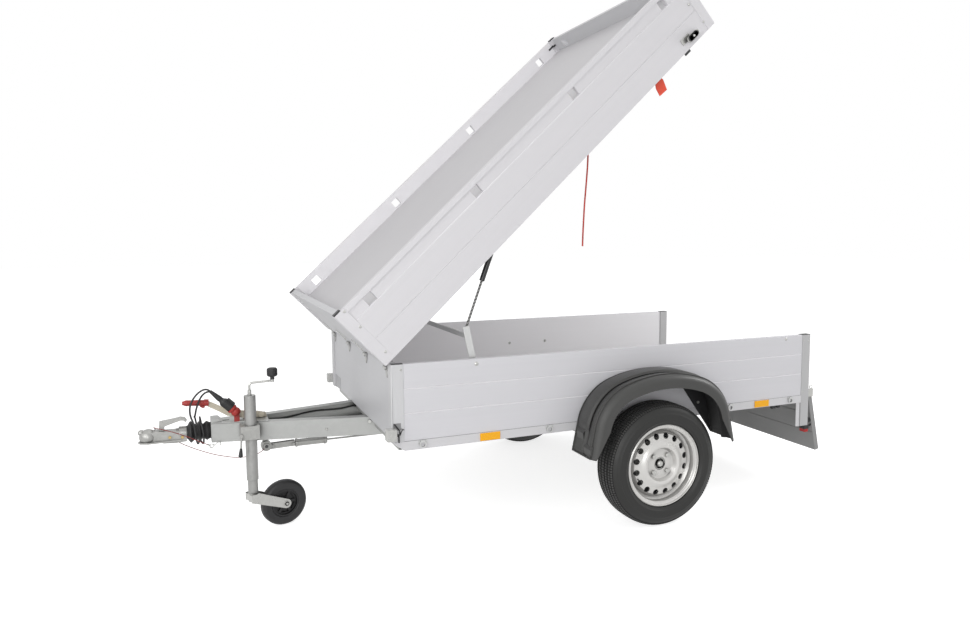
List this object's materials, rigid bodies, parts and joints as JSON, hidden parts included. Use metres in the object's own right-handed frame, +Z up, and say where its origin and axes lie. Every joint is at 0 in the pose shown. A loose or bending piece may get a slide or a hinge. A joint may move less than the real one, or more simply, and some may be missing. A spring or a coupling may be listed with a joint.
{
  "type": "single-axle box trailer with tipping lid",
  "caption": "Braked single-axle utility trailer: plank-sided box, hinged lid held open by gas struts, drop tailgate, A-frame drawbar, ball coupling and jockey wheel.",
  "frame": {"origin": "on the ground under the middle of the whole trailer's length and width", "axes": "+X forward to the coupling, +Y to the left, +Z up"},
  "size_m": [3.1485, 1.7, 2.4408],
  "materials": {
    "galvanised_steel": "hot-dip galvanised, fine spangle, dull",
    "zinc_plated": "bright zinc plate with a faint warm tint",
    "aluminium_plank": "natural anodised, fine lengthwise lines",
    "aluminium_post": "bright anodised extrusion",
    "floor_board": "resin-faced plywood, dark, non-slip mesh",
    "black_plastic": "moulded, fine texture",
    "mudguard_plastic": "moulded, low sheen",
    "black_rubber": "matt moulded rubber",
    "tyre": "road tyre, matt",
    "rim_silver": "silver lacquer",
    "red_plastic": "moulded, semi-gloss",
    "amber_lens": "prismatic reflector",
    "clear_lens": "clear lens over white and red optics",
    "red_lens": "clear red lens",
    "strut_black": "black lacquered tube",
    "strut_rod": "hard-chromed rod",
    "red_cord": "braided polyester cord",
    "coated_cable": "red coated wire rope"
  },
  "bodies": {
    "chassis": {"drawbar": "galvanised_steel", "body_frame": "galvanised_steel", "floor": "floor_board", "side_walls": "aluminium_plank", "front_wall": "aluminium_plank", "corner_posts": "aluminium_post", "post_caps": "black_plastic", "tie_down_eyes": "zinc_plated", "side_reflectors": "amber_lens", "marker_lamps": "clear_lens", "rear_lamps": "red_lens", "axle_beam": "galvanised_steel", "swing_arms": "galvanised_steel", "mudguards": "mudguard_plastic", "overrun_housing": "galvanised_steel", "coupling_head": "zinc_plated", "coupling_handle": "zinc_plated", "bellows": "black_rubber", "handbrake_lever": "zinc_plated", "handbrake_grip": "red_plastic", "brake_linkage": "zinc_plated", "plug": "black_plastic", "plug_holder": "red_plastic", "plug_cable": "black_rubber", "breakaway_cable": "coated_cable", "breakaway_hook": "zinc_plated", "lamp_cable": "black_rubber", "jockey_clamp": "zinc_plated", "jockey_tube": "zinc_plated", "jockey_crank": "zinc_plated", "jockey_grips": "black_plastic", "lid_hinge_leaves": "zinc_plated", "strut_bow": "aluminium_post", "tailgate_lugs": "zinc_plated", "tailgate_stops": "black_rubber"},
    "wheel_left": {"hub_left": "zinc_plated", "rim_left": "rim_silver", "tyre_left": "tyre"},
    "wheel_right": {"hub_right": "zinc_plated", "rim_right": "rim_silver", "tyre_right": "tyre"},
    "jockey_leg": {"jockey_stem": "zinc_plated"},
    "jockey_swivel": {"jockey_fork": "zinc_plated"},
    "jockey_wheel": {"jockey_rim": "black_plastic", "jockey_tyre": "black_rubber"},
    "lid": {"lid_sides": "aluminium_plank", "lid_ends": "aluminium_plank", "lid_posts": "aluminium_post", "lid_caps": "black_plastic", "lid_sheet": "aluminium_plank", "lid_hinge_straps": "zinc_plated", "lid_locks": "zinc_plated", "lid_pull_tab": "red_plastic", "pull_cord": "red_cord", "strut_mounts": "zinc_plated"},
    "cylinder_left": {"strut_cylinder_left": "strut_black"},
    "cylinder_right": {"strut_cylinder_right": "strut_black"},
    "plunger_left": {"strut_rod_left": "strut_rod"},
    "plunger_right": {"strut_rod_right": "strut_rod"},
    "gate": {"tailgate": "aluminium_plank"}
  },
  "joints": [
    {"name": "wheel_left_spin", "type": "hinge", "parent": "chassis", "child": "wheel_left", "pos_m": [-0.4968, 0.763, 0.274], "axis": [0, 1, 0], "continuous": true},
    {"name": "wheel_right_spin", "type": "hinge", "parent": "chassis", "child": "wheel_right", "pos_m": [-0.4968, -0.763, 0.274], "axis": [0, 1, 0], "continuous": true},
    {"name": "jockey_height", "type": "slide", "parent": "chassis", "child": "jockey_leg", "axis": [0, 0, 1], "range_m": [-0.15, 0.055]},
    {"name": "jockey_caster", "type": "hinge", "parent": "jockey_leg", "child": "jockey_swivel", "pos_m": [1.1392, 0.11098, 0.15], "axis": [0, 0, 1], "continuous": true},
    {"name": "jockey_spin", "type": "hinge", "parent": "jockey_swivel", "child": "jockey_wheel", "pos_m": [1.01201, 0.07209, 0.1], "axis": [-0.2924, 0.9563, 0], "continuous": true},
    {"name": "lid_hinge", "type": "hinge", "parent": "chassis", "child": "lid", "pos_m": [0.6632, 0, 0.757], "axis": [0, 1, 0], "range_deg": [-43.7, 0]},
    {"name": "strut_left_pivot", "type": "hinge", "parent": "lid", "child": "cylinder_left", "pos_m": [0.16961, 0.6, 1.34487], "axis": [0, 1, 0], "range_deg": [-33, 0]},
    {"name": "strut_left_stroke", "type": "slide", "parent": "cylinder_left", "child": "plunger_left", "axis": [-0.3441, 0, 0.9389], "range_m": [0, 0.0433]},
    {"name": "strut_right_pivot", "type": "hinge", "parent": "lid", "child": "cylinder_right", "pos_m": [0.16961, -0.6, 1.34487], "axis": [0, 1, 0], "range_deg": [-33, 0]},
    {"name": "strut_right_stroke", "type": "slide", "parent": "cylinder_right", "child": "plunger_right", "axis": [-0.3441, 0, 0.9389], "range_m": [0, 0.0433]},
    {"name": "tailgate_hinge", "type": "hinge", "parent": "chassis", "child": "gate", "pos_m": [-1.4998, 0, 0.472], "axis": [0, 1, 0], "range_deg": [0, 168.3]}
  ],
  "couplings": [
    {"joint": "strut_left_pivot", "follows": "lid_hinge", "ratio": 0.75495},
    {"joint": "strut_left_stroke", "follows": "lid_hinge", "m_per_rad": -0.056588},
    {"joint": "strut_right_pivot", "follows": "lid_hinge", "ratio": 0.75495},
    {"joint": "strut_right_stroke", "follows": "lid_hinge", "m_per_rad": -0.056588}
  ]
}
